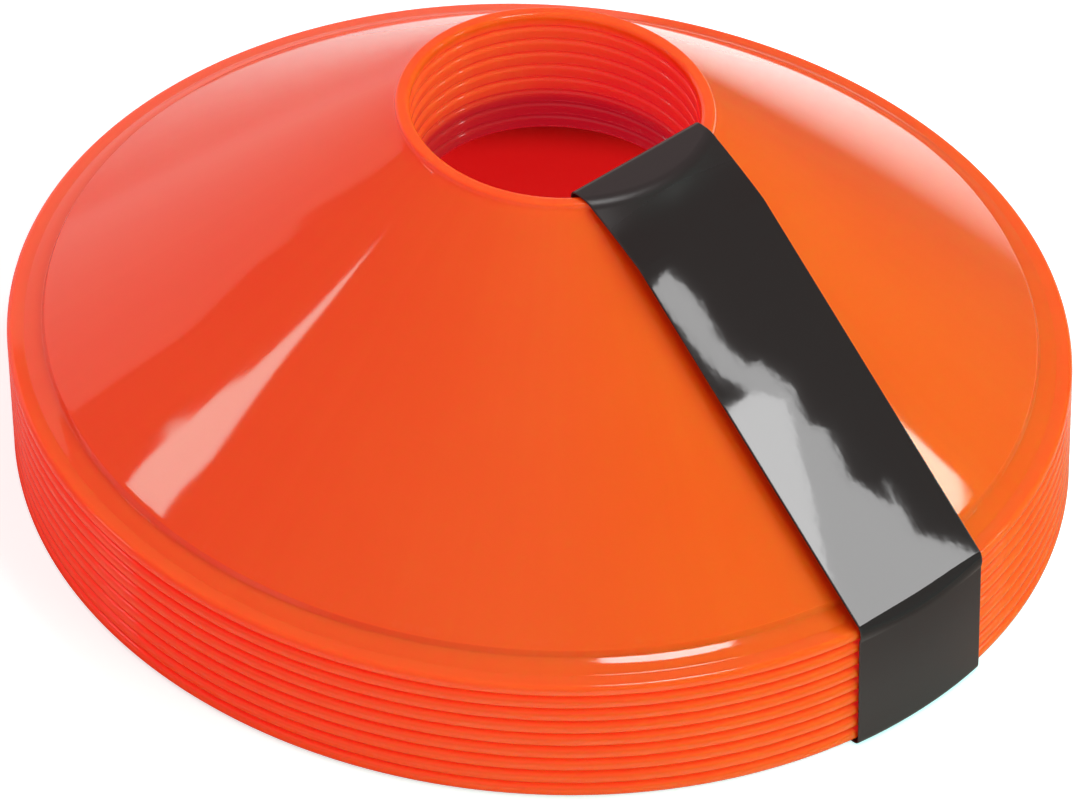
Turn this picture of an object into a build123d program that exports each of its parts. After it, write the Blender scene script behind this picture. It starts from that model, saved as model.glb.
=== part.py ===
from build123d import *
from build123d.topology import SkipClean
import os
from math import asin, atan2, degrees, hypot, sqrt, tan

# A stack of nested disc marker cones tied by one flat band, in millimetres.
# Z is the lowest cone's axis, its rim stands on Z = 0, and the band lies on the +X side.

# The stack, which leans away from the band: each cone sits a step to -X of the one below
CONE_COUNT = 9
LEAN_STEP = 0.25

# One cone
RIM_DIAMETER = 190.0
CONE_HEIGHT = 52.6
BORE_DIAMETER = 50.6
WALL = 1.1

# The rolled bead round the bore; the beads stand on each other, so its height is the stack's pitch
BEAD_WIDTH = 2.6
BEAD_HEIGHT = 2.7
BEAD_ROUND = 0.9
NEST_CLEARANCE = 0.25
# Shares of the bead's height above the slope that its outer rounding and the neck's fillet take up
OUTER_ROUND_SHARE = 0.5
NECK_ROUND_SHARE = 0.45

# The rim: a gently sloped flange with a thickened edge, then a step up to the shoulder where the slope starts
RIM_GAP = 0.5
RIM_WIDTH = 2.2
RIM_ROUND = 1.0
FLANGE_WIDTH = 3.0
FLANGE_RISE = 0.3
STEP_RUN = 1.4
STEP_RISE = 0.7
FOOT_ROUND = 1.0
SHOULDER_ROUND = 10.0
EDGE_ROUND = 0.3

# The groove round the slope's lower end, along the slope from the shoulder and square to it
GROOVE_WIDTH = 2.8
GROOVE_LAND = 1.75
GROOVE_DEPTH = 0.6
GROOVE_ROUND = 0.5

# The band: a taut flat strip with its ends lapped under the stack
BAND_WIDTH = 30.0
BAND_THICKNESS = 0.35
BAND_BEND = 0.8
BAND_CLEARANCE = 0.3
LAP_LENGTH = 28.0

# The strip of the lowest rim that the band passes under reaches this far past each edge of the band
STRIP_MARGIN = 5.0

# Sizes that follow
pitch = BEAD_HEIGHT
stack_rise = (CONE_COUNT - 1) * pitch
stack_shift = (CONE_COUNT - 1) * LEAN_STEP
lean = LEAN_STEP / pitch
rim_radius = RIM_DIAMETER / 2
rim_inner_radius = rim_radius - RIM_WIDTH
rim_height = pitch - RIM_GAP
bore_radius = BORE_DIAMETER / 2
bead_radius = bore_radius + BEAD_WIDTH
bead_bottom = CONE_HEIGHT - BEAD_HEIGHT
band_reach = BAND_WIDTH / 2

# Corners of a cone's upper side, as (radius, height)
rim_top = Vector(rim_radius, rim_height)
foot = rim_top + Vector(-FLANGE_WIDTH, FLANGE_RISE)
shoulder = foot + Vector(-STEP_RUN, STEP_RISE)


def slope_neck():
    """Where the slope meets the bead: the wall's underside passes clear of the bead nested below it."""
    bead_below = Vector(bead_radius, bead_bottom) - shoulder
    wall_above = asin((WALL + NEST_CLEARANCE) / bead_below.length)
    slope_angle = atan2(bead_below.Y, -bead_below.X) + wall_above
    return Vector(bead_radius, shoulder.Y + (shoulder.X - bead_radius) * tan(slope_angle))


def normal_below(start, end):
    """Unit normal on the lower side of a line that runs outwards."""
    along = (end - start).normalized()
    return Vector(along.Y, -along.X)


def corner_below(before, corner, after):
    """Corner of the underside, one wall below the two lines that meet at a corner of the upper side."""
    first = normal_below(before, corner)
    second = normal_below(corner, after)
    return corner + (first + second) * (WALL / (1 + first.dot(second)))


neck = slope_neck()
shoulder_below = corner_below(neck, shoulder, foot)


def outline_face(corners):
    """Face in the XZ plane inside the closed outline of (corner, rounding) pairs."""
    points = [corner for corner, _ in corners]
    rounds = [rounding for _, rounding in corners]
    return make_face(Plane.XZ * FilletPolyline(*points, radius=rounds, close=True))


def cone_section():
    """Half section of one cone standing on Z = 0."""
    slope = shoulder - neck
    slope_turn = atan2(slope.X, -slope.Y)
    bead_proud = CONE_HEIGHT - neck.Y
    bead_outer_round = OUTER_ROUND_SHARE * bead_proud
    neck_round = NECK_ROUND_SHARE * bead_proud / tan(slope_turn / 2)
    bead_inner_bottom = Vector(bore_radius, bead_bottom)
    bead_inner_top = Vector(bore_radius, CONE_HEIGHT)
    bead_outer_top = Vector(bead_radius, CONE_HEIGHT)
    rim_bottom = Vector(rim_radius, 0)
    rim_inner_bottom = Vector(rim_inner_radius, 0)
    flange_fall = FLANGE_RISE / FLANGE_WIDTH
    wall_down = WALL * hypot(1, flange_fall)
    rim_inner_top = Vector(rim_inner_radius, rim_height + RIM_WIDTH * flange_fall - wall_down)
    foot_below = corner_below(shoulder, foot, rim_top)
    rise_to_bead = (bead_bottom - shoulder_below.Y) / -slope.Y
    slope_below = shoulder_below - slope * rise_to_bead
    up_slope = -slope.normalized()
    groove_top = shoulder + up_slope * GROOVE_WIDTH
    groove_bottom = shoulder + up_slope * GROOVE_LAND + normal_below(neck, shoulder) * GROOVE_DEPTH
    return outline_face([
        (bead_inner_bottom, BEAD_ROUND),
        (bead_inner_top, BEAD_ROUND),
        (bead_outer_top, bead_outer_round),
        (neck, neck_round),
        (groove_top, GROOVE_ROUND),
        (groove_bottom, GROOVE_ROUND),
        (shoulder, SHOULDER_ROUND),
        (foot, FOOT_ROUND),
        (rim_top, RIM_ROUND),
        (rim_bottom, RIM_ROUND),
        (rim_inner_bottom, EDGE_ROUND),
        (rim_inner_top, EDGE_ROUND),
        (foot_below, FOOT_ROUND),
        (shoulder_below, FOOT_ROUND),
        (slope_below, EDGE_ROUND),
    ])


def cone():
    """One cone standing on Z = 0."""
    return revolve(cone_section(), Axis.Z)


def resting_cone():
    """The lowest cone, turned in two stretches so that the rim beside the band is a face of its own."""
    strip_angle = 2 * degrees(asin((band_reach + STRIP_MARGIN) / rim_inner_radius))
    section = cone_section()
    under_band = Rot(0, 0, -strip_angle / 2) * revolve(section, Axis.Z, strip_angle)
    beside_band = Rot(0, 0, strip_angle / 2) * revolve(section, Axis.Z, 360 - strip_angle)
    with SkipClean():
        return beside_band + under_band


def chord(radius):
    """Distance from the axis of a flat strip as wide as the band, whose edges lie on the given radius."""
    return sqrt(radius**2 - band_reach**2)


def band():
    """The band's closed loop: over the lip, down the slope and the rims, under the stack and up the bore."""
    lip_z = stack_rise + CONE_HEIGHT + BAND_CLEARANCE
    rim_z = stack_rise + rim_height
    rim_x = rim_radius + BAND_CLEARANCE - stack_shift
    under_z = -BAND_CLEARANCE
    low = Vector(chord(shoulder_below.X), shoulder_below.Y - BAND_CLEARANCE)
    high = Vector(chord(bore_radius - BAND_CLEARANCE), bead_bottom - BAND_CLEARANCE)
    inner = outline_face([
        (Vector(high.X - lean * (lip_z - high.Y), lip_z), BAND_BEND),
        (Vector(bead_radius - stack_shift, lip_z), BAND_BEND),
        (Vector(rim_x, rim_z), BAND_BEND),
        (Vector(rim_x + lean * (rim_z - under_z), under_z), BAND_BEND),
        (Vector(chord(rim_inner_radius), under_z), BAND_BEND),
        (low, BAND_BEND),
        (high, BAND_BEND),
    ])
    loop = offset(inner, BAND_THICKNESS) - inner
    along = (high - low).normalized()
    outwards = Vector(-along.Y, along.X)
    lap_centre = (low + high) / 2 + outwards * (BAND_THICKNESS + BAND_THICKNESS / 2)
    lap_angle = degrees(atan2(along.Y, along.X))
    lap = Plane.XZ * Pos(lap_centre) * Rot(0, 0, lap_angle) * Rectangle(LAP_LENGTH, BAND_THICKNESS)
    return extrude(loop + lap, band_reach, both=True)


def cone_name(level):
    """Node name of the cone at a level, counted from 1 at the bottom."""
    if level == 1:
        return "bottom_cone"
    return "top_cone" if level == CONE_COUNT else f"cone_{level}"


os.makedirs("parts", exist_ok=True)
export_step(resting_cone(), f"parts/{cone_name(1)}.step")
for level in range(2, CONE_COUNT + 1):
    steps_up = level - 1
    nested = Pos(-steps_up * LEAN_STEP, 0, steps_up * pitch) * cone()
    export_step(nested, f"parts/{cone_name(level)}.step")
export_step(band(), "parts/tie_band.step")
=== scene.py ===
"""A nested stack of disc marker cones tied by a flat band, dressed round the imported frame."""

from math import asin, atan2, cos, hypot, radians, sin, sqrt, tan

import bpy
import numpy as np
from mathutils import Matrix, Vector


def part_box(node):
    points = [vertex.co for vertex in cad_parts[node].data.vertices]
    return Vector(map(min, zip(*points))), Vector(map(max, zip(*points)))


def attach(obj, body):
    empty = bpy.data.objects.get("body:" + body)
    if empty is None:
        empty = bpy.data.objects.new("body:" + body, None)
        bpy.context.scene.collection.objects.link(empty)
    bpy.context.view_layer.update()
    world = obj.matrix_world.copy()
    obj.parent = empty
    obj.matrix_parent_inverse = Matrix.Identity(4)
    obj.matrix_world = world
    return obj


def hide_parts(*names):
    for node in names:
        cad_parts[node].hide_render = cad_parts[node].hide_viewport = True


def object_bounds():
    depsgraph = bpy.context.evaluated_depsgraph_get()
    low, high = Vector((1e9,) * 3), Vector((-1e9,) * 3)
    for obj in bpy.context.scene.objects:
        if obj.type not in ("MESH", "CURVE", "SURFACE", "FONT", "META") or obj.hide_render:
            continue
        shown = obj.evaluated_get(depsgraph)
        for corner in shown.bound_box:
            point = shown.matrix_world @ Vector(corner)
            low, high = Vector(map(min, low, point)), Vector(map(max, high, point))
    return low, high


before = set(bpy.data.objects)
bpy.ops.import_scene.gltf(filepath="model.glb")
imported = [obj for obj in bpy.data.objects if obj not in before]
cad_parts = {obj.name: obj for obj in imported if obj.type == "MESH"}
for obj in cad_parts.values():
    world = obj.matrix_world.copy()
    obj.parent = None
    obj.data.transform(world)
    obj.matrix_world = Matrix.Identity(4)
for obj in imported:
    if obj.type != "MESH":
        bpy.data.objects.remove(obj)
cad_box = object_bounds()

bl_info = {
    "name": "Marker Cone Stack",
    "version": (1, 0, 0),
    "blender": (4, 5, 0),
    "location": "View3D > Sidebar > Marker Cones",
    "description": "Dresses a banded stack of disc marker cones with smooth surfaces, finishes and a studio",
    "category": "Object",
}

LEVELS = ["bottom_cone", *(f"cone_{level}" for level in range(2, 9)), "top_cone"]
BAND_NODE = "tie_band"


def node_width(node):
    """Extent of a CAD node along X."""
    low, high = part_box(node)
    return high[0] - low[0]


def node_height(node):
    """Extent of a CAD node along Z."""
    low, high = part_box(node)
    return high[2] - low[2]


def cone_seat(node):
    """Where a cone's axis meets the plane that its rim stands on."""
    low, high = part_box(node)
    return Vector(((low[0] + high[0]) / 2, 0, low[2]))


def band_breadth():
    """Extent of the band along Y."""
    low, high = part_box(BAND_NODE)
    return high[1] - low[1]


# Sizes and colours that a user would change


def length(name, description, default):
    """A length in metres."""
    return bpy.props.FloatProperty(name=name, description=description, default=default, min=0, precision=5,
                                   unit="LENGTH", subtype="DISTANCE")


def share(name, description, default):
    """A number from 0 to 1."""
    return bpy.props.FloatProperty(name=name, description=description, default=default, min=0, max=1,
                                   subtype="FACTOR")


def level(name, description, default):
    """A light level or strength."""
    return bpy.props.FloatProperty(name=name, description=description, default=default, min=0)


def turn(name, description, default):
    """An angle, given in degrees."""
    return bpy.props.FloatProperty(name=name, description=description, default=radians(default),
                                   unit="ROTATION", subtype="ANGLE")


def colour(name, description, default):
    """A linear colour."""
    return bpy.props.FloatVectorProperty(name=name, description=description, default=default, size=3,
                                         min=0, max=1, subtype="COLOR")


class ConeSizes(bpy.types.PropertyGroup):
    """Section of one disc cone."""

    rim_diameter: length("Rim diameter", "Outside diameter of the rim", node_width(LEVELS[0]))
    height: length("Height", "Height of one cone", node_height(LEVELS[0]))
    bore_diameter: length("Bore diameter", "Inside diameter of the rolled lip", 0.0506)
    wall: length("Wall", "Thickness of the wall", 0.0011)
    bead_width: length("Bead width", "Radial width of the rolled lip", 0.0026)
    bead_height: length("Bead height", "Height of the rolled lip", 0.0027)
    bead_round: length("Bead rounding", "Rounding of the lip towards the bore", 0.0009)
    bead_outer_share: share("Bead outer rounding", "Share of the lip's step that its rounding takes up", 0.5)
    neck_share: share("Neck rounding", "Share of the lip's step that the fillet to the slope takes up", 0.45)
    nest_clearance: length("Nest clearance", "Gap between a wall and the lip nested below it", 0.00025)
    rim_gap: length("Rim gap", "Gap between two nested rims", 0.0005)
    rim_width: length("Rim width", "Radial width of the thick edge", 0.0022)
    rim_round: length("Rim rounding", "Rounding of the outer edge", 0.001)
    flange_width: length("Flange width", "Radial width outside the step", 0.003)
    flange_rise: length("Flange rise", "Height of the flange's foot over its outer edge", 0.0003)
    step_run: length("Step run", "Radial width of the step up to the shoulder", 0.0014)
    step_rise: length("Step rise", "Height of the shoulder over the flange's foot", 0.0007)
    foot_round: length("Foot rounding", "Fillet where the step meets the flange", 0.001)
    shoulder_round: length("Shoulder rounding", "Rounding of the shoulder", 0.010)
    groove_width: length("Groove width", "Width of the groove, up the slope from the shoulder", 0.0028)
    groove_land: length("Groove land", "Width from the shoulder to the groove's deepest line", 0.00175)
    groove_depth: length("Groove depth", "Depth of the groove, square to the slope", 0.0006)
    groove_round: length("Groove rounding", "Rounding of the groove's bottom and upper edge", 0.0005)
    edge_round: length("Edge rounding", "Rounding of the hidden edges", 0.0003)
    wobble: length("Rim wobble", "How far a moulded rim wanders up and down from flat", 0.00004)


class BandSizes(bpy.types.PropertyGroup):
    """The flat band."""

    width: length("Width", "Width of the band", band_breadth())
    thickness: length("Thickness", "Thickness of the band", 0.00035)
    bend: length("Bend", "Inside rounding of the hidden folds and of the one into the bore", 0.0008)
    wide_bend: length("Wide bend", "Inside rounding where the band runs over the lip and the rims", 0.004)
    clearance: length("Clearance", "Gap between the band and the cones", 0.0003)
    lap: length("Lap", "Length over which the band's two ends lie on each other", 0.028)
    lap_ramp: length("Lap ramp", "Length over which the outer end climbs onto the inner one", 0.003)


class Finishes(bpy.types.PropertyGroup):
    """Colours and gloss of the two plastics, with the cones' painted glow and painted shade."""

    orange: colour("Orange", "Main colour of the cones", (0.93, 0.150, 0.012))
    orange_deep: colour("Deep orange", "Colour where the cones' pigment is denser", (0.92, 0.132, 0.010))
    orange_scuffed: colour("Scuffed orange", "Colour of rubbed plastic", (0.94, 0.21, 0.075))
    orange_roughness: share("Orange roughness", "Roughness of the cones where they are clean", 0.045)
    orange_scatter: share("Orange scatter", "How much light spreads inside the cones' plastic", 0.55)
    # Painted glow: red emission round the bore, standing in for light through the plastic
    bore_painted_glow: colour("Bore glow", "Light through the plastic round the bore", (0.16, 0.003, 0.012))
    # Painted glow: red emission on the rims' facing edges, lightening the shade in the gaps between them
    rim_painted_glow: colour("Rim glow", "Light through the plastic between two rims", (0.13, 0.002, 0.006))
    # Painted shade: a darker red colour for the wall deep in the bore, from a given depth below the top lip
    bore_painted_shade_colour: colour("Bore shade", "Colour of the wall deep in the bore", (0.47, 0.03, 0.012))
    painted_shade_depth: length("Shade depth", "How far below the top lip the shaded wall starts", 0.017)
    black: colour("Black", "Main colour of the band", (0.020, 0.018, 0.019))
    black_rubbed: colour("Rubbed black", "Colour of the band's rubbed edges", (0.05, 0.046, 0.048))
    black_roughness: share("Black roughness", "Roughness of the band where it is clean", 0.015)


class Studio(bpy.types.PropertyGroup):
    """Camera, floor and lights."""

    azimuth: turn("Azimuth", "Camera's direction round the stack", 44.0)
    elevation: turn("Elevation", "Camera's height over the horizon", 39.306)
    distance: length("Distance", "Camera's distance from the point it turns about", 1.26877)
    roll: turn("Roll", "Camera's roll", 3.649)
    pan: turn("Pan", "Camera's turn to the side, off the stack's middle", 0.028)
    tilt: turn("Tilt", "Camera's turn upwards, off the stack's middle", -1.146)
    lens: bpy.props.FloatProperty(name="Lens", description="Focal length on a 36 mm sensor", default=239.18,
                                  unit="CAMERA")
    floor: colour("Floor", "Colour of the floor", (0.82, 0.82, 0.82))
    floor_lift: colour("Floor lift", "Light added to the floor where it is seen", (0.40, 0.80, 0.80))
    # Painted glow: red emission on the floor under the stack, seen through the bore, standing in for light
    # through the cones
    glow: colour("Glow", "Light that comes through the cones onto the floor below them", (0.29, 0.004, 0.005))
    surround: colour("Surround", "Colour of the light from all round", (0.93, 0.18, 0.18))
    mirrored: colour("Mirrored surround", "Colour of the surround in reflections", (0.38, 0.37, 0.38))
    mirrored_right: colour("Mirrored right", "Colour of the surround's right side in reflections",
                           (0.18, 0.17, 0.17))
    lamps: colour("Lamps", "Colour of the two soft lights, which evens out the red of the surround",
                  (0.22, 1.0, 0.85))
    key: level("Key light", "Power of the soft light from the right, in watts", 3.1)
    fill: level("Fill light", "Power of the near light from the front right, in watts", 0.85)
    top: level("Top light", "Power of the small light overhead, in watts", 1.1)


# Surfaces


def sideways(heading):
    """Unit vectors to the left of headings, given as angles from the first axis."""
    return np.stack([-np.sin(heading), np.cos(heading)], axis=-1)


def rounded_outline(corners, rounds, arc_steps, run_shares):
    """Points and headings along a closed outline with rounded corners.

    At each corner the outline turns from the incoming to the outgoing run. The arc starts the rounding times
    the tangent of half the turn before the corner, and each of its points lies one rounding from the arc's
    centre, square to a heading that goes evenly from the first run's to the second's. The straight runs
    between two arcs get points at the given shares of their length.
    """
    corners, rounds = np.asarray(corners, float), np.asarray(rounds, float)
    runs = corners - np.roll(corners, 1, axis=0)
    arriving = np.arctan2(runs[:, 1], runs[:, 0])
    turning = (np.roll(arriving, -1) - arriving + np.pi) % (2 * np.pi) - np.pi
    cut = rounds * np.tan(np.abs(turning) / 2)
    start = corners - cut[:, None] * np.stack([np.cos(arriving), np.sin(arriving)], axis=-1)
    reach = np.sign(turning) * rounds
    centre = start + reach[:, None] * sideways(arriving)
    arc_heading = arriving[:, None] + turning[:, None] * np.linspace(0, 1, arc_steps)
    arcs = centre[:, None] - reach[:, None, None] * sideways(arc_heading)
    run_start, run_end = arcs[:, -1], np.roll(arcs[:, 0], -1, axis=0)
    along = np.asarray(run_shares)[:, None]
    straights = run_start[:, None] * (1 - along) + run_end[:, None] * along
    run_heading = np.repeat(arc_heading[:, -1:], len(run_shares), axis=1)
    points = np.concatenate([arcs, straights], axis=1).reshape(-1, 2)
    return points, np.concatenate([arc_heading, run_heading], axis=1).reshape(-1)


# Attribute with each point's place about its piece's own seat
OWN_PLACE = "own_place"


def grid_object(name, points, seat, closed_rows, material):
    """Object from a grid of points about a seat, whose columns close on themselves.

    Every four neighbours make one face, taken down the rows first so that it faces outwards. The rows close
    too, or else the first and last row each get a cap. The places about the seat are kept for the finishes.
    """
    rows, columns = points.shape[:2]
    index = np.arange(rows * columns).reshape(rows, columns)
    near = index if closed_rows else index[:-1]
    far = np.roll(index, -1, axis=0) if closed_rows else index[1:]
    corners = [near, far, np.roll(far, -1, axis=1), np.roll(near, -1, axis=1)]
    faces = np.stack(corners, axis=-1).reshape(-1, 4).tolist()
    if not closed_rows:
        faces += [index[0].tolist(), index[-1, ::-1].tolist()]
    mesh = bpy.data.meshes.new(name)
    mesh.from_pydata((points + np.array(seat)).reshape(-1, 3).tolist(), [], faces, shade_flat=False)
    mesh.attributes.new(OWN_PLACE, "FLOAT_VECTOR", "POINT").data.foreach_set("vector", points.ravel())
    mesh.materials.append(material)
    made = bpy.data.objects.new(name, mesh)
    bpy.context.scene.collection.objects.link(made)
    return made


def slope_neck(size, shoulder):
    """Corner between slope and lip: the wall's underside passes clear of the lip nested one step below."""
    bead_radius = size.bore_diameter / 2 + size.bead_width
    over, rise = shoulder[0] - bead_radius, size.height - size.bead_height - shoulder[1]
    slope = atan2(rise, over) + asin((size.wall + size.nest_clearance) / hypot(over, rise))
    return np.array([bead_radius, shoulder[1] + over * tan(slope)])


def below(before, corner, after, wall):
    """Corner of the underside, one wall below the two runs that meet at a corner of the upper side."""
    first, second = ((end - start) / np.linalg.norm(end - start)
                     for start, end in ((before, corner), (corner, after)))
    down = np.array([first[1] + second[1], -first[0] - second[0]])
    return corner + down * wall / (1 + first @ second)


def upper_corners(size):
    """Corners of a cone's upper side from the slope's neck out to the rim, as (radius, height)."""
    rim_top = np.array([size.rim_diameter / 2, size.bead_height - size.rim_gap])
    foot = rim_top + (-size.flange_width, size.flange_rise)
    shoulder = foot + (-size.step_run, size.step_rise)
    return slope_neck(size, shoulder), shoulder, foot, rim_top


def cone_outline(size):
    """Closed half section of a cone as corners and roundings, from the bore over the slope and back."""
    neck, shoulder, foot, rim_top = upper_corners(size)
    bore, bead_bottom = size.bore_diameter / 2, size.height - size.bead_height
    proud = size.height - neck[1]
    slope = shoulder - neck
    slope_turn = atan2(slope[0], -slope[1])
    up_slope = -slope / np.linalg.norm(slope)
    groove_top = shoulder + up_slope * size.groove_width
    into_slope = np.array([-up_slope[1], up_slope[0]])
    groove_bottom = shoulder + up_slope * size.groove_land + into_slope * size.groove_depth
    shoulder_below = below(neck, shoulder, foot, size.wall)
    rim_inside = size.rim_diameter / 2 - size.rim_width
    flange_fall = size.flange_rise / size.flange_width
    slope_below = shoulder_below - slope * (bead_bottom - shoulder_below[1]) / -slope[1]
    edge = size.edge_round
    section = [
        ((bore, bead_bottom), size.bead_round),
        ((bore, size.height), size.bead_round),
        ((neck[0], size.height), size.bead_outer_share * proud),
        (neck, size.neck_share * proud / tan(slope_turn / 2)),
        (groove_top, size.groove_round),
        (groove_bottom, size.groove_round),
        (shoulder, size.shoulder_round),
        (foot, size.foot_round),
        (rim_top, size.rim_round),
        ((rim_top[0], 0), size.rim_round),
        ((rim_inside, 0), edge),
        ((rim_inside, rim_top[1] + size.rim_width * flange_fall - size.wall * hypot(1, flange_fall)), edge),
        (below(shoulder, foot, rim_top, size.wall), size.foot_round),
        (shoulder_below, size.foot_round),
        (slope_below, edge),
    ]
    corners, rounds = zip(*section)
    return np.array(corners), np.array(rounds)


# Shares of a straight run that get points, crowded at its ends so that shading stays true to the flat between
RUN_SHARES = (0.01, 0.06, 0.3, 0.7, 0.94, 0.99)
TOP_DETAIL = {"arc_steps": 7, "around": 512}
NESTED_DETAIL = {"arc_steps": 5, "around": 320}
WOBBLE_LOBES = np.array([2, 3, 4, 5])
WOBBLE_SEED = 9


def cone_surface(size, draws, arc_steps, around):
    """Grid of one cone about its seat: its half section swept once round the axis.

    Column angles go evenly round the axis. A point's height gains the rim's wobble, a sum of a few waves
    round the rim with drawn phases, times the square of how far out the point lies from bore to rim.
    """
    corners, rounds = cone_outline(size)
    section, _ = rounded_outline(corners, rounds, arc_steps, RUN_SHARES)
    radius, height = section[:, :1], section[:, 1:]
    angle = np.linspace(0, 2 * np.pi, around, endpoint=False)[None, :]
    phases = draws.uniform(0, 2 * np.pi, len(WOBBLE_LOBES))
    waves = np.cos(WOBBLE_LOBES[:, None] * angle + phases[:, None]).mean(axis=0)[None, :]
    bore, rim = size.bore_diameter / 2, size.rim_diameter / 2
    outwards = ((radius - bore) / (rim - bore)) ** 2
    lifted = height + size.wobble * waves * outwards
    return np.stack([radius * np.cos(angle), radius * np.sin(angle), lifted], axis=-1)


def chord(radius, width):
    """Distance from the axis of a flat strip whose two edges lie on the given radius."""
    return sqrt(radius**2 - (width / 2) ** 2)


def band_corners(size, band):
    """Corners of the band's inner side in the XZ plane, from the bore over lip and rims and back below."""
    bore, bead_bottom = size.bore_diameter / 2, size.height - size.bead_height
    top = cone_seat(LEVELS[-1])
    lean = -top.x / top.z
    neck, shoulder, foot, rim_top = upper_corners(size)
    lip_z = top.z + size.height + band.clearance
    rim_z = top.z + rim_top[1]
    rim_x = top.x + rim_top[0] + band.clearance
    shoulder_below = below(neck, shoulder, foot, size.wall)
    low = np.array([chord(shoulder_below[0], band.width), shoulder_below[1] - band.clearance])
    high = np.array([chord(bore - band.clearance, band.width), bead_bottom - band.clearance])
    return np.array([
        (high[0] - lean * (lip_z - high[1]), lip_z),
        (top.x + neck[0], lip_z),
        (rim_x, rim_z),
        (rim_x + lean * (rim_z + band.clearance), -band.clearance),
        (chord(size.rim_diameter / 2 - size.rim_width, band.width), -band.clearance),
        low,
        high,
    ])


BAND_ARC_STEPS = 9
# Shares of the band's straight runs that get points, and how far the band hugs the round lip and rims:
# where it enters and leaves each bend of its loop, and at those points of the run that follows
BAND_RUN_SHARES = (0.12, 0.9)
BAND_HUG = np.array([
    (0, 0, 0.12, 0.9),
    (1, 1, 0, 0),
    (0, 1, 1, 1),
    (1, 1, 0.88, 0.1),
    (0, 0, 0, 0),
    (0, 0, 0, 0),
    (0, 0, 0, 0),
])
# Corners of the loop with the wide bend: over the lip and over the rims
BAND_WIDE_BENDS = [1, 2]
BAND_ROWS = 1300
# Shares of the band's half width that get points, crowded at its edges so that its faces shade as flat
BAND_FACE_SHARES = np.concatenate([[-1], np.linspace(-0.996, 0.996, 11), [1]])
BAND_EDGE_POINTS = 5


def stadium(width, thickness):
    """Closed cross-section of the band as (sideways, outwards): two flat faces joined by half-round edges."""
    flat, edge = (width - thickness) / 2, thickness / 2
    over = flat * BAND_FACE_SHARES
    bend = np.linspace(np.pi / 2, -np.pi / 2, BAND_EDGE_POINTS + 2)[1:-1]
    ring = [
        np.stack([over, np.full_like(over, edge)], axis=-1),
        np.stack([flat + edge * np.cos(bend), edge * np.sin(bend)], axis=-1),
        np.stack([-over, np.full_like(over, -edge)], axis=-1),
        np.stack([-flat - edge * np.cos(bend), -edge * np.sin(bend)], axis=-1),
    ]
    return np.concatenate(ring)


def band_surface(size, band):
    """Grid of the band: its flat cross-section carried along the loop, with the end lapped over the start.

    The path is the rounded loop, started where the lap starts and followed one lap further than once round.
    Each cross-section stands square to the path, half a thickness out from the loop's inner side, and the
    outer end climbs by one more thickness along the ramp before the lap. Where the band hugs the lip or the
    rims, each point moves back to the axis by the sagitta of its row's circle round the top cone's axis.
    """
    corners = band_corners(size, band)
    rounds = np.full(len(corners), band.bend)
    rounds[BAND_WIDE_BENDS] = band.wide_bend
    loop, heading = rounded_outline(corners, rounds, BAND_ARC_STEPS, BAND_RUN_SHARES)
    round_bends = np.linspace(BAND_HUG[:, 0], BAND_HUG[:, 1], BAND_ARC_STEPS, axis=1)
    hug = np.concatenate([round_bends, BAND_HUG[:, 2:]], axis=1).ravel()
    low, high = corners[-2:]
    along = (high - low) / np.linalg.norm(high - low)
    lap_start = (low + high) / 2 - along * band.lap / 2
    leg_end = len(loop) - BAND_ARC_STEPS - len(BAND_RUN_SHARES) - 1
    loop, hug = np.roll(loop, -leg_end, axis=0), np.roll(hug, -leg_end)
    heading = np.unwrap(np.roll(heading, -leg_end))
    loop = np.concatenate([[lap_start], loop, loop[:1]])
    hug = np.concatenate([hug[:1], hug, hug[:1]])
    heading = np.concatenate([heading[:1], heading, heading[:1] - 2 * np.pi])
    steps = np.linalg.norm(np.diff(loop, axis=0), axis=1)
    run = np.concatenate([[0], np.cumsum(steps)])
    once_round = run[-1] - np.linalg.norm(loop[1] - lap_start)
    walk = np.linspace(0, once_round + band.lap, BAND_ROWS)
    wrapped = walk % once_round
    x, z = np.interp(wrapped, run, loop[:, 0]), np.interp(wrapped, run, loop[:, 1])
    outwards = sideways(np.interp(wrapped, run, heading))
    climb = np.clip((walk - once_round + band.lap_ramp) / band.lap_ramp, 0, 1)
    lift = band.thickness * (0.5 + climb**2 * (3 - 2 * climb))
    ring = stadium(band.width, band.thickness)
    out = lift[:, None] + ring[None, :, 1]
    across = np.broadcast_to(ring[None, :, 0], out.shape)
    reach = x[:, None] - cone_seat(LEVELS[-1]).x
    sagitta = reach - np.sqrt(reach**2 - across**2)
    hugged = np.interp(wrapped, run, hug)[:, None] * sagitta
    place_x = x[:, None] + outwards[:, :1] * out - hugged
    place_z = z[:, None] + outwards[:, 1:] * out
    return np.stack([place_x, across, place_z], axis=-1)


# Materials

DARK = (0.0, 0.0, 0.0)
WHITE = (1.0, 1.0, 1.0)


class Field:
    """A shader value for Python expressions: each operation adds one Math node."""

    def __init__(self, tree, socket):
        self.tree = tree
        self.socket = socket

    def combine(self, operation, first, second):
        return self.tree.add("ShaderNodeMath", {"operation": operation}, {0: first, 1: second})

    def __add__(self, other):
        return self.combine("ADD", self, other)

    def __radd__(self, other):
        return self.combine("ADD", other, self)

    def __sub__(self, other):
        return self.combine("SUBTRACT", self, other)

    def __rsub__(self, other):
        return self.combine("SUBTRACT", other, self)

    def __mul__(self, other):
        return self.combine("MULTIPLY", self, other)

    def __rmul__(self, other):
        return self.combine("MULTIPLY", other, self)


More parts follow.
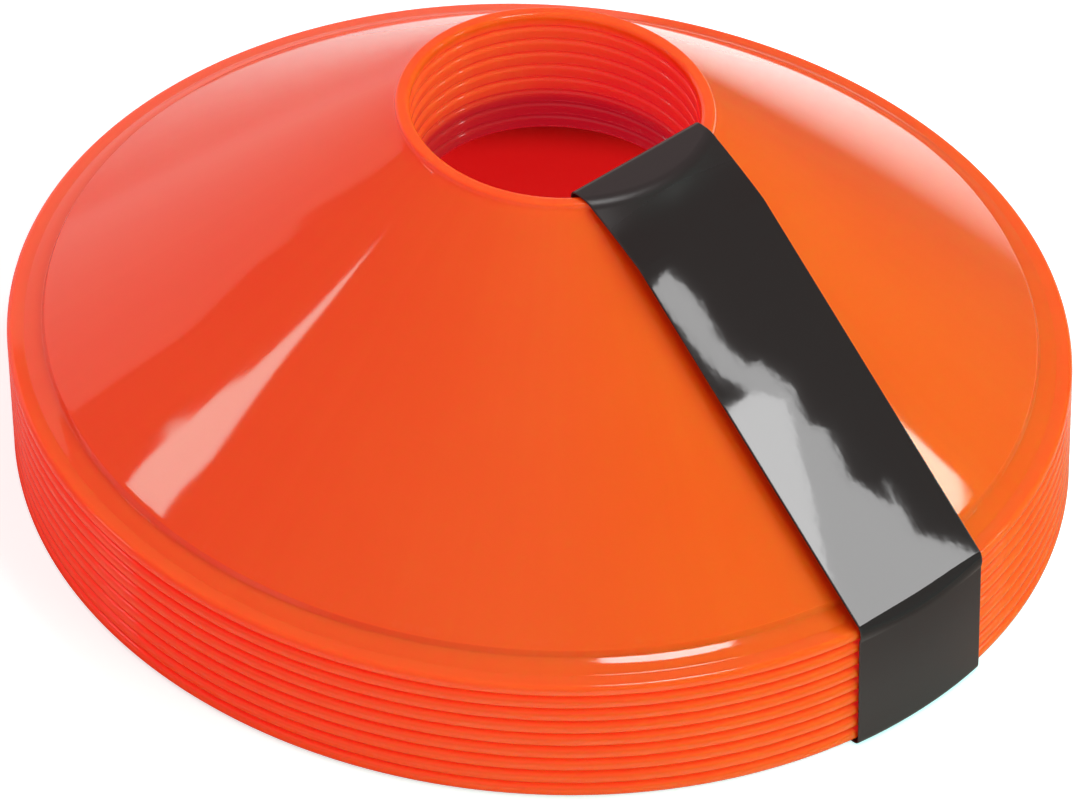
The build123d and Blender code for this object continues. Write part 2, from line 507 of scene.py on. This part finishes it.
class Tree:
    """Node tree of a new material or of the world."""

    def __init__(self, owner):
        owner.use_nodes = True
        self.nodes = owner.node_tree.nodes
        self.links = owner.node_tree.links
        self.nodes.clear()

    def add(self, kind, settings, sockets, output=0):
        """One node: its settings are set first, then each socket gets a value or a link."""
        node = self.nodes.new(kind)
        for key, value in settings.items():
            setattr(node, key, value)
        for key, value in sockets.items():
            if isinstance(value, Field):
                self.links.new(value.socket, node.inputs[key])
            else:
                node.inputs[key].default_value = value
        return Field(self, node.outputs[output]) if node.outputs else node

    def place(self):
        """Object coordinates."""
        return self.add("ShaderNodeTexCoord", {}, {}, "Object")

    def own_place(self):
        """Place about the piece's own seat."""
        return self.add("ShaderNodeAttribute", {"attribute_name": OWN_PLACE}, {}, "Vector")

    def noise(self, vector, scale, detail, roughness=0.5):
        """Smooth noise from 0 to 1."""
        return self.add("ShaderNodeTexNoise", {}, {"Vector": vector, "Scale": scale, "Detail": detail,
                                                   "Roughness": roughness})

    def vector(self, operation, first, second=(0.0, 0.0, 0.0)):
        """One vector operation."""
        return self.add("ShaderNodeVectorMath", {"operation": operation}, {0: first, 1: second})

    def part_of(self, vector, axis):
        """One part of a vector."""
        return self.add("ShaderNodeSeparateXYZ", {}, {0: vector}, axis)

    def size_of(self, value):
        """A value without its sign."""
        return self.add("ShaderNodeMath", {"operation": "ABSOLUTE"}, {0: value})

    def bump(self, height, depth):
        """Normal of a surface that a height from 0 to 1 lifts by up to a depth in metres."""
        return self.add("ShaderNodeBump", {}, {"Strength": 1.0, "Distance": depth, "Height": height})

    def distance(self, vector):
        """Length of a vector."""
        return self.add("ShaderNodeVectorMath", {"operation": "LENGTH"}, {0: vector}, "Value")

    def dot(self, first, second):
        """How far a vector reaches along a direction."""
        return self.add("ShaderNodeVectorMath", {"operation": "DOT_PRODUCT"}, {0: first, 1: second}, "Value")

    def rise(self, value, low, high):
        """Smooth step from 0 at low to 1 at high."""
        return self.add("ShaderNodeMapRange", {"interpolation_type": "SMOOTHSTEP"},
                        {"Value": value, "From Min": low, "From Max": high})

    def blend(self, factor, first, second):
        """Mix of two colours."""
        rgba = [value if isinstance(value, Field) else (*value, 1.0) for value in (first, second)]
        return self.add("ShaderNodeMix", {"data_type": "RGBA"}, {0: factor, 6: rgba[0], 7: rgba[1]}, 2)

    def finish(self, shader):
        """Sends a shader to the surface."""
        self.add("ShaderNodeOutputMaterial", {}, {"Surface": shader})


# Marks in the plastic: streaks round the bore, clouds, scratched rings and bumps per metre, and the bumps'
# depth in metres
FLOW_SCALE = 7.0
CLOUD_SCALE = 26.0
RING_SCALE = 900.0
PEEL_SCALE = 160.0
RIPPLE_SCALE = 60.0
PLASTIC_BUMP = 0.000004
# Levels of their noise between which scratches and dense pigment come up
SCRATCH_LEVELS = (0.60, 0.74)
DENSE_LEVELS = (0.34, 0.66)
# How far a scratched ring wanders with the clouds and with the streaks
RING_WANDER = (3.0, 14.0)
# Wear everywhere, at the rim and at the lip
WEAR_SHARES = (0.05, 0.25, 0.25)
# Metres inwards from the rim: where its wear starts and is full, and so for the edge that faces another rim
RIM_WEAR = (0.011, 0.004)
RIM_EDGE = (0.003, 0.002)
# Metres outwards from the bore: the wear of its lip, and the skin that counts as its wall
LIP_WEAR = (0.001, 0.005)
BORE_SKIN = (0.0004, 0.0016)
# Metres of height: the soft edge below and above the start of the painted shade, where the painted glow is
# full and none below the lip's top, and the step by which the top rim's upper edge is left without painted
# glow
PAINTED_SHADE_EDGE = (0.001, 0.002)
GLOW_EDGE = (0.002, 0.0006)
TOP_RIM_EDGE = 0.0003
# Metres that red light spreads inside the plastic, and the shares of that which red, green and blue do
SCATTER_REACH = 0.003
SCATTER_SHARES = (1.0, 0.22, 0.08)
PLASTIC_IOR = 1.5


def orange_plastic(finish, size):
    """Glossy moulded plastic: flow streaks out from the bore, faint clouds, and scuffs on lip and rim.

    The wall deep in the bore has a painted shade, and a painted red glow (emission) stands in for light
    through the plastic in the bore and between the rims.
    """
    material = bpy.data.materials.new("orange_plastic")
    tree = Tree(material)
    place = tree.own_place()
    flat = tree.vector("MULTIPLY", place, (1.0, 1.0, 0.0))
    radius = tree.distance(flat)
    spoke = tree.vector("NORMALIZE", flat)
    flow = tree.noise(spoke, FLOW_SCALE, 4.0, 0.6)
    cloud = tree.noise(place, CLOUD_SCALE, 3.0)
    by_cloud, by_flow = RING_WANDER
    ringed = tree.add("ShaderNodeCombineXYZ", {},
                      {"X": radius * RING_SCALE, "Y": cloud * by_cloud, "Z": flow * by_flow})
    scratches = tree.rise(tree.noise(ringed, 1.0, 2.0), *SCRATCH_LEVELS)
    rim, bore = size.rim_diameter / 2, size.bore_diameter / 2
    rim_rub = tree.rise(radius, rim - RIM_WEAR[0], rim - RIM_WEAR[1])
    lip_rub = 1.0 - tree.rise(radius, bore + LIP_WEAR[0], bore + LIP_WEAR[1])
    all_over, at_rim, at_lip = WEAR_SHARES
    rubbed = scratches * (all_over + at_rim * rim_rub + at_lip * lip_rub)
    dense = tree.rise(0.55 * cloud + 0.45 * flow, *DENSE_LEVELS)
    pigment = tree.blend(dense, finish.orange, finish.orange_deep)
    worn = tree.blend(rubbed * 0.35, pigment, finish.orange_scuffed)
    roughness = finish.orange_roughness + 0.02 * cloud + 0.2 * rubbed
    in_bore = 1.0 - tree.rise(radius, bore + BORE_SKIN[0], bore + BORE_SKIN[1])
    level_up = tree.part_of(tree.place(), "Z")
    top_seat = cone_seat(LEVELS[-1]).z
    lip_top = top_seat + size.height
    painted_shade_top = lip_top - finish.painted_shade_depth
    # Painted shade: below that depth the bore's wall takes the darker shade colour instead of the orange
    painted_shade_mask = in_bore * (1.0 - tree.rise(level_up, painted_shade_top - PAINTED_SHADE_EDGE[0], painted_shade_top + PAINTED_SHADE_EDGE[1]))
    # Painted glow: the bore's wall, up to just below the lip's top, emits red light
    painted_light_in_bore = in_bore * (1.0 - tree.rise(level_up, lip_top - GLOW_EDGE[0], lip_top - GLOW_EDGE[1]))
    base = tree.blend(painted_shade_mask, worn, finish.bore_painted_shade_colour)
    # Painted glow: the rims' edges that face another rim emit red light, all but the top rim's upper edge
    rim_middle = (size.bead_height - size.rim_gap) / 2
    from_middle = tree.size_of(tree.part_of(place, "Z") - rim_middle)
    rim_edge = tree.rise(radius, rim - RIM_EDGE[0], rim - RIM_EDGE[1])
    painted_glow_faces = tree.rise(from_middle, 0.5 * rim_middle, rim_middle) * rim_edge
    top_middle = top_seat + rim_middle
    painted_light_between_rims = painted_glow_faces * (1.0 - tree.rise(level_up, top_middle, top_middle + TOP_RIM_EDGE))
    # Painted glow: the emission colour of the bore's wall
    through = tree.blend(painted_light_in_bore, DARK, finish.bore_painted_glow)
    peel = tree.noise(place, PEEL_SCALE, 2.0)
    ripple = tree.noise(place, RIPPLE_SCALE, 1.0)
    normal = tree.bump(0.35 * peel + ripple, PLASTIC_BUMP)
    shader = tree.add("ShaderNodeBsdfPrincipled", {}, {
        "Base Color": base,
        "Roughness": roughness,
        "Normal": normal,
        "IOR": PLASTIC_IOR,
        "Subsurface Weight": finish.orange_scatter,
        "Subsurface Radius": SCATTER_SHARES,
        "Subsurface Scale": SCATTER_REACH,
        # Painted glow: emission in the bore and between the rims stands in for light through the plastic
        "Emission Color": tree.blend(painted_light_between_rims, through, finish.rim_painted_glow),
        "Emission Strength": 1.0,
    })
    tree.finish(shader)
    return material


# Marks in the film per metre: draw lines, which are closest across the band, patches and bumps, and the
# bumps' depth in metres
DRAW_SCALE = (40.0, 2600.0, 40.0)
PATCH_SCALE = 70.0
FILM_RIPPLE_SCALE = 110.0
FILM_BUMP = 0.000005
# Levels of the patches between which an edge is rubbed
RUBBED_LEVELS = (0.35, 0.65)
# Metres: the rubbed edge's width, and the reach of the dull crease out from the lip
RUBBED_EDGE = 0.0004
CREASE_REACH = 0.006


def black_band(finish, size, band):
    """Glossy black film: draw lines, a slightly uneven face, rubbed edges and a dull crease at the lip."""
    material = bpy.data.materials.new("black_band")
    tree = Tree(material)
    place = tree.place()
    drawn = tree.noise(tree.vector("MULTIPLY", place, DRAW_SCALE), 1.0, 2.0)
    patches = tree.noise(place, PATCH_SCALE, 3.0, 0.6)
    from_middle = tree.size_of(tree.part_of(place, "Y"))
    edge = tree.rise(from_middle, band.width / 2 - RUBBED_EDGE, band.width / 2)
    worn = edge * tree.rise(patches, *RUBBED_LEVELS)
    lip_x = cone_seat(LEVELS[-1]).x + size.bore_diameter / 2 + size.bead_width
    creased = 1.0 - tree.rise(tree.part_of(place, "X"), lip_x, lip_x + CREASE_REACH)
    base = tree.blend(worn * 0.5, finish.black, finish.black_rubbed)
    roughness = finish.black_roughness + 0.01 * patches + 0.01 * drawn + 0.06 * worn + 0.28 * creased
    ripple = tree.noise(place, FILM_RIPPLE_SCALE, 3.0, 0.6)
    normal = tree.bump(ripple + 0.02 * drawn, FILM_BUMP)
    shader = tree.add("ShaderNodeBsdfPrincipled", {}, {
        "Base Color": base,
        "Roughness": roughness,
        "Normal": normal,
        "IOR": PLASTIC_IOR,
    })
    tree.finish(shader)
    return material


# Studio

# Metres: the height of the point that the camera and the lights are placed about, and how far the camera sees
STAGE_LEVEL = 0.04
CAMERA_REACH = 50

# The floor's reach in metres, and the sides of its outline
FLOOR_REACH = 6.0
FLOOR_SIDES = 128

# Zones of the floor round the stack in metres: the edge of the footprint, where it brightens to the camera,
# then to the right, behind, beside at the right, far off, and where the right side fades in reflections
FOOTPRINT_EDGE = 0.004
RIGHT_ZONE = (-0.1, 0.1)
BEHIND_ZONE = (-0.02, 0.08)
BESIDE_ZONE = (0.04, 0.12)
FAR_ZONE = (0.2, 0.9)
FADING_ZONE = (0.12, 0.45)
# Shares of the footprint: where the painted glow below the stack fades, and where reflections start to see
# the lift
GLOW_ZONE = (0.85, 0.97)
LIFT_ZONE = (1.0, 1.15)
# Shares of the lift that reflections see close by, behind at the right, far off at the left and at the right,
# and the share of its own light that the floor beside the stack loses there
LIFT_NEAR = 0.2
LIFT_BEHIND = 0.65
LIFT_FAR_LEFT = 0.6
LIFT_FAR_RIGHT = 0.22
BESIDE_DIMMED = 0.7

# How far a direction points right where the surround in reflections starts and ends to take its right colour
SURROUND_TURN = (-0.1, 0.6)

# Round lights: azimuth and elevation as the panels have them, distance and breadth
KEY_PLACE = (95, 46, 0.9, 0.35)
FILL_PLACE = (45, 22, 0.45, 0.25)
TOP_PLACE = (126, 76, 0.9, 0.18)

# Flat panels seen only in reflections: azimuth from the camera's front (positive to the right) and elevation
# in degrees, distance, light, and the outline on the panel as (right, up)
PANELS = {
    "left_strip": (-97.0, 36.0, 0.6, (3.0, 7.0, 6.4), [
        (0.025, -0.062), (0.100, -0.008), (0.087, -0.004), (0.090, 0.013), (0.072, 0.021), (0.059, 0.030),
        (0.051, 0.046), (0.038, 0.060), (0.034, 0.023), (0.027, -0.008), (0.014, -0.022), (0.013, -0.039),
        (-0.016, -0.064), (0.010, -0.049), (0.011, -0.059),
    ]),
    "left_wall": (-135.0, 8.0, 1.2, (1.12, 0.94, 0.90), [
        (-1.2, -0.4), (0.43, -0.4), (0.42, 0.36), (0.44, 0.42), (0.37, 0.40), (0.39, 0.44), (0.30, 0.36),
        (0.40, 0.51), (0.36, 0.70), (-1.2, 0.90),
    ]),
    "right_box": (96.0, 41.5, 0.6, (8.0, 8.0, 8.0), [
        (-0.037, 0.024), (-0.046, 0.008), (-0.051, 0.000), (-0.052, -0.008), (-0.060, -0.003),
        (-0.068, -0.006), (-0.090, -0.020), (-0.115, -0.045), (-0.150, -0.090), (-0.073, -0.090),
        (-0.069, -0.070), (-0.070, -0.060), (-0.060, -0.047), (-0.066, -0.052), (-0.063, -0.039),
        (-0.054, -0.030), (-0.054, -0.025), (-0.047, -0.017), (-0.044, -0.008), (-0.046, -0.005),
        (-0.042, 0.004), (-0.035, 0.012), (-0.031, 0.022),
    ]),
    "right_box_middle": (96.0, 41.5, 0.598, (12.2, 12.2, 12.2), [
        (-0.052, -0.008), (-0.060, -0.003), (-0.068, -0.006), (-0.090, -0.020), (-0.115, -0.045),
        (-0.150, -0.090), (-0.110, -0.062), (-0.086, -0.042), (-0.067, -0.029), (-0.050, -0.017),
    ]),
    "right_spot": (104.0, 28.0, 0.6, (7.0, 12.0, 10.5), [
        (-0.046, 0.030), (-0.065, 0.010), (-0.042, -0.012), (0.017, -0.040), (0.008, 0.000),
    ]),
}


def towards(studio, azimuth, elevation):
    """Unit vector at degrees of azimuth from the camera's front, positive to its right, and of elevation."""
    plan = studio.azimuth + radians(azimuth - 90)
    level_out = cos(radians(elevation))
    return Vector((level_out * cos(plan), level_out * sin(plan), sin(radians(elevation))))


def stage_middle():
    """The point that the camera and the lights are placed about."""
    top = cone_seat(LEVELS[-1])
    return Vector((top.x, top.y, STAGE_LEVEL))


def panel_axes(outwards):
    """Axes in the plane of a panel that faces the stack: right as azimuth grows, and up."""
    right = Vector((0, 0, 1)).cross(outwards).normalized()
    return right, outwards.cross(right)


def set_camera(studio):
    """Camera on a sphere round the stack, then panned, tilted and rolled about its own axes."""
    plan, lift = studio.azimuth, studio.elevation
    right = Vector((cos(plan), sin(plan), 0))
    ahead = Vector((-sin(plan) * cos(lift), cos(plan) * cos(lift), -sin(lift)))
    up = right.cross(ahead)
    place = stage_middle() - studio.distance * ahead
    right, ahead = (right * cos(studio.pan) - ahead * sin(studio.pan),
                    right * sin(studio.pan) + ahead * cos(studio.pan))
    up, ahead = (up * cos(studio.tilt) - ahead * sin(studio.tilt),
                 up * sin(studio.tilt) + ahead * cos(studio.tilt))
    right, up = (right * cos(studio.roll) + up * sin(studio.roll),
                 up * cos(studio.roll) - right * sin(studio.roll))
    data = bpy.data.cameras.new("photo_camera")
    data.lens = studio.lens
    data.clip_end = CAMERA_REACH
    camera = bpy.data.objects.new("photo_camera", data)
    camera.matrix_world = Matrix.Translation(place) @ Matrix((right, up, -ahead)).transposed().to_4x4()
    bpy.context.scene.collection.objects.link(camera)
    bpy.context.scene.camera = camera


def ray_share(tree, kind):
    """1 for rays of one kind, such as those straight from the camera, and 0 for all others."""
    return tree.add("ShaderNodeLightPath", {}, {}, kind)


def floor_finish(studio, footprint):
    """Pale matt floor that takes shadows: lifted to white for the camera, with a painted red glow below the
    stack.

    Reflections see less of the lift, and less of the floor itself beside the stack and far off at the right.
    """
    material = bpy.data.materials.new("pale_floor")
    tree = Tree(material)
    place = tree.place()
    reach = tree.distance(place)
    outside = tree.rise(reach, footprint - FOOTPRINT_EDGE, footprint)
    # Painted glow: the floor under the stack emits red light out to near its footprint's edge
    inside = 1.0 - tree.rise(reach, GLOW_ZONE[0] * footprint, GLOW_ZONE[1] * footprint)
    beyond = tree.rise(reach, LIFT_ZONE[0] * footprint, LIFT_ZONE[1] * footprint)
    to_right = tree.dot(place, towards(studio, 90, 0))
    across = tree.rise(to_right, *RIGHT_ZONE)
    behind = tree.rise(tree.dot(place, towards(studio, 180, 0)), *BEHIND_ZONE)
    far = tree.rise(reach, *FAR_ZONE)
    beside = tree.rise(to_right, *BESIDE_ZONE) * (1.0 - behind)
    fading = across * tree.rise(reach, *FADING_ZONE)
    close_by = (LIFT_NEAR * (1.0 - beside) + LIFT_BEHIND * across * behind) * (1.0 - fading)
    mirrored = beyond * (close_by + LIFT_FAR_LEFT * far * (1.0 - across) + LIFT_FAR_RIGHT * fading)
    glossy = ray_share(tree, "Is Glossy Ray")
    seen = outside * ray_share(tree, "Is Camera Ray") + mirrored * glossy
    dimmed = 1.0 - (1.0 - BESIDE_DIMMED * beside) * (1.0 - fading)
    pale = tree.blend(glossy * dimmed, studio.floor, DARK)
    # Painted glow: the red emission of the floor under the stack
    glow = tree.add("ShaderNodeEmission", {}, {"Color": tree.blend(inside, DARK, studio.glow)})
    lift = tree.add("ShaderNodeEmission", {}, {"Color": tree.blend(seen, DARK, studio.floor_lift)})
    matt = tree.add("ShaderNodeBsdfDiffuse", {}, {"Color": pale})
    lit = tree.add("ShaderNodeAddShader", {}, {0: matt, 1: lift})
    tree.finish(tree.add("ShaderNodeAddShader", {}, {0: lit, 1: glow}))
    return material


def add_floor(studio, size):
    """Round floor just under the band."""
    low, _ = cad_box
    around = np.linspace(0, 2 * np.pi, FLOOR_SIDES, endpoint=False)
    ring = np.stack([np.cos(around), np.sin(around), np.zeros_like(around)], axis=-1) * FLOOR_REACH
    ring[:, 2] = low[2]
    mesh = bpy.data.meshes.new("floor")
    mesh.from_pydata(ring.tolist(), [], [list(range(len(ring)))])
    mesh.materials.append(floor_finish(studio, size.rim_diameter / 2))
    floor = bpy.data.objects.new("floor", mesh)
    bpy.context.scene.collection.objects.link(floor)


def add_panel(studio, name, azimuth, elevation, distance, light, outline):
    """Glowing panel that only reflections show."""
    outwards = towards(studio, azimuth, elevation)
    right, up = panel_axes(outwards)
    points = np.array(stage_middle() + outwards * distance) + np.array(outline) @ np.array([right, up])
    mesh = bpy.data.meshes.new(name)
    mesh.from_pydata(points.tolist(), [], [list(range(len(points)))])
    material = bpy.data.materials.new(name)
    tree = Tree(material)
    tree.finish(tree.add("ShaderNodeEmission", {}, {"Color": (*light, 1.0)}))
    mesh.materials.append(material)
    panel = bpy.data.objects.new(name, mesh)
    panel.visible_camera = panel.visible_diffuse = panel.visible_shadow = False
    bpy.context.scene.collection.objects.link(panel)


def add_lamp(studio, name, azimuth, elevation, distance, breadth, power, tint, glossy):
    """Round light that faces the stack, and shows in reflections if it is glossy."""
    outwards = towards(studio, azimuth, elevation)
    right, up = panel_axes(outwards)
    data = bpy.data.lights.new(name, "AREA")
    data.shape = "DISK"
    data.size = breadth
    data.energy = power
    data.color = tint
    lamp = bpy.data.objects.new(name, data)
    place = stage_middle() + outwards * distance
    lamp.matrix_world = Matrix.Translation(place) @ Matrix((right, up, outwards)).transposed().to_4x4()
    lamp.visible_camera = False
    lamp.visible_glossy = glossy
    bpy.context.scene.collection.objects.link(lamp)


def set_surround(studio):
    """Even light from all round, dimmer on the right in reflections, and white where the camera sees it."""
    world = bpy.data.worlds.new("studio")
    bpy.context.scene.world = world
    tree = Tree(world)
    heading = tree.add("ShaderNodeTexCoord", {}, {}, "Generated")
    to_right = tree.rise(tree.dot(heading, towards(studio, 90, 0)), *SURROUND_TURN)
    mirrored = tree.blend(to_right, studio.mirrored, studio.mirrored_right)
    light = tree.blend(ray_share(tree, "Is Glossy Ray"), studio.surround, mirrored)
    shown = tree.blend(ray_share(tree, "Is Camera Ray"), light, WHITE)
    background = tree.add("ShaderNodeBackground", {}, {"Color": shown})
    tree.add("ShaderNodeOutputWorld", {}, {"Surface": background})


# Operators, panel and run


class MARKERCONES_OT_nest_cones(bpy.types.Operator):
    """Make the nine nested cones as smooth surfaces in place of their CAD nodes"""

    bl_idname = "markercones.nest_cones"
    bl_label = "Nest Cones"

    def execute(self, context):
        size = context.scene.marker_cone_sizes
        plastic = orange_plastic(context.scene.marker_cone_finishes, size)
        draws = np.random.default_rng(WOBBLE_SEED)
        for node in LEVELS:
            detail = TOP_DETAIL if node == LEVELS[-1] else NESTED_DETAIL
            grid = cone_surface(size, draws, **detail)
            cone = grid_object(f"{node}_shell", grid, cone_seat(node), True, plastic)
            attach(cone, node)
            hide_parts(node)
        return {"FINISHED"}


class MARKERCONES_OT_tie_band(bpy.types.Operator):
    """Make the black band with its lapped ends in place of its CAD node"""

    bl_idname = "markercones.tie_band"
    bl_label = "Tie Band"

    def execute(self, context):
        scene = context.scene
        band = scene.marker_band_sizes
        film = black_band(scene.marker_cone_finishes, scene.marker_cone_sizes, band)
        grid = band_surface(scene.marker_cone_sizes, band)
        strip = grid_object("band_strip", grid, (0, 0, 0), False, film)
        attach(strip, BAND_NODE)
        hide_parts(BAND_NODE)
        return {"FINISHED"}


class MARKERCONES_OT_set_stage(bpy.types.Operator):
    """Set the floor, the soft lights, the reflected panels and the camera"""

    bl_idname = "markercones.set_stage"
    bl_label = "Set Stage"

    def execute(self, context):
        scene = context.scene
        studio = scene.marker_cone_studio
        scene.view_settings.view_transform = "Standard"
        set_camera(studio)
        set_surround(studio)
        add_floor(studio, scene.marker_cone_sizes)
        for name, panel in PANELS.items():
            add_panel(studio, name, *panel)
        add_lamp(studio, "key_light", *KEY_PLACE, studio.key, studio.lamps, glossy=False)
        add_lamp(studio, "fill_light", *FILL_PLACE, studio.fill, studio.lamps, glossy=False)
        add_lamp(studio, "top_light", *TOP_PLACE, studio.top, WHITE, glossy=True)
        return {"FINISHED"}


class MARKERCONES_PT_stack(bpy.types.Panel):
    """Sizes, finishes and studio of the stack"""

    bl_idname = "MARKERCONES_PT_stack"
    bl_label = "Marker Cones"
    bl_space_type = "VIEW_3D"
    bl_region_type = "UI"
    bl_category = "Marker Cones"

    def draw(self, context):
        for operator, groups in STEPS.items():
            box = self.layout.box()
            box.operator(operator.bl_idname)
            for group in groups:
                values = getattr(context.scene, group)
                for key in type(values).__annotations__:
                    box.prop(values, key)


STEPS = {
    MARKERCONES_OT_nest_cones: ("marker_cone_sizes", "marker_cone_finishes"),
    MARKERCONES_OT_tie_band: ("marker_band_sizes",),
    MARKERCONES_OT_set_stage: ("marker_cone_studio",),
}
GROUPS = {
    "marker_cone_sizes": ConeSizes,
    "marker_band_sizes": BandSizes,
    "marker_cone_finishes": Finishes,
    "marker_cone_studio": Studio,
}
CLASSES = (*GROUPS.values(), *STEPS, MARKERCONES_PT_stack)


def register():
    for cls in CLASSES:
        bpy.utils.register_class(cls)
    for key, group in GROUPS.items():
        setattr(bpy.types.Scene, key, bpy.props.PointerProperty(type=group))


def unregister():
    for key in GROUPS:
        delattr(bpy.types.Scene, key)
    for cls in reversed(CLASSES):
        bpy.utils.unregister_class(cls)


def main():
    """Registers the add-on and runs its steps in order."""
    register()
    bpy.ops.markercones.nest_cones()
    bpy.ops.markercones.tie_band()
    bpy.ops.markercones.set_stage()


if __name__ == "__main__":
    main()
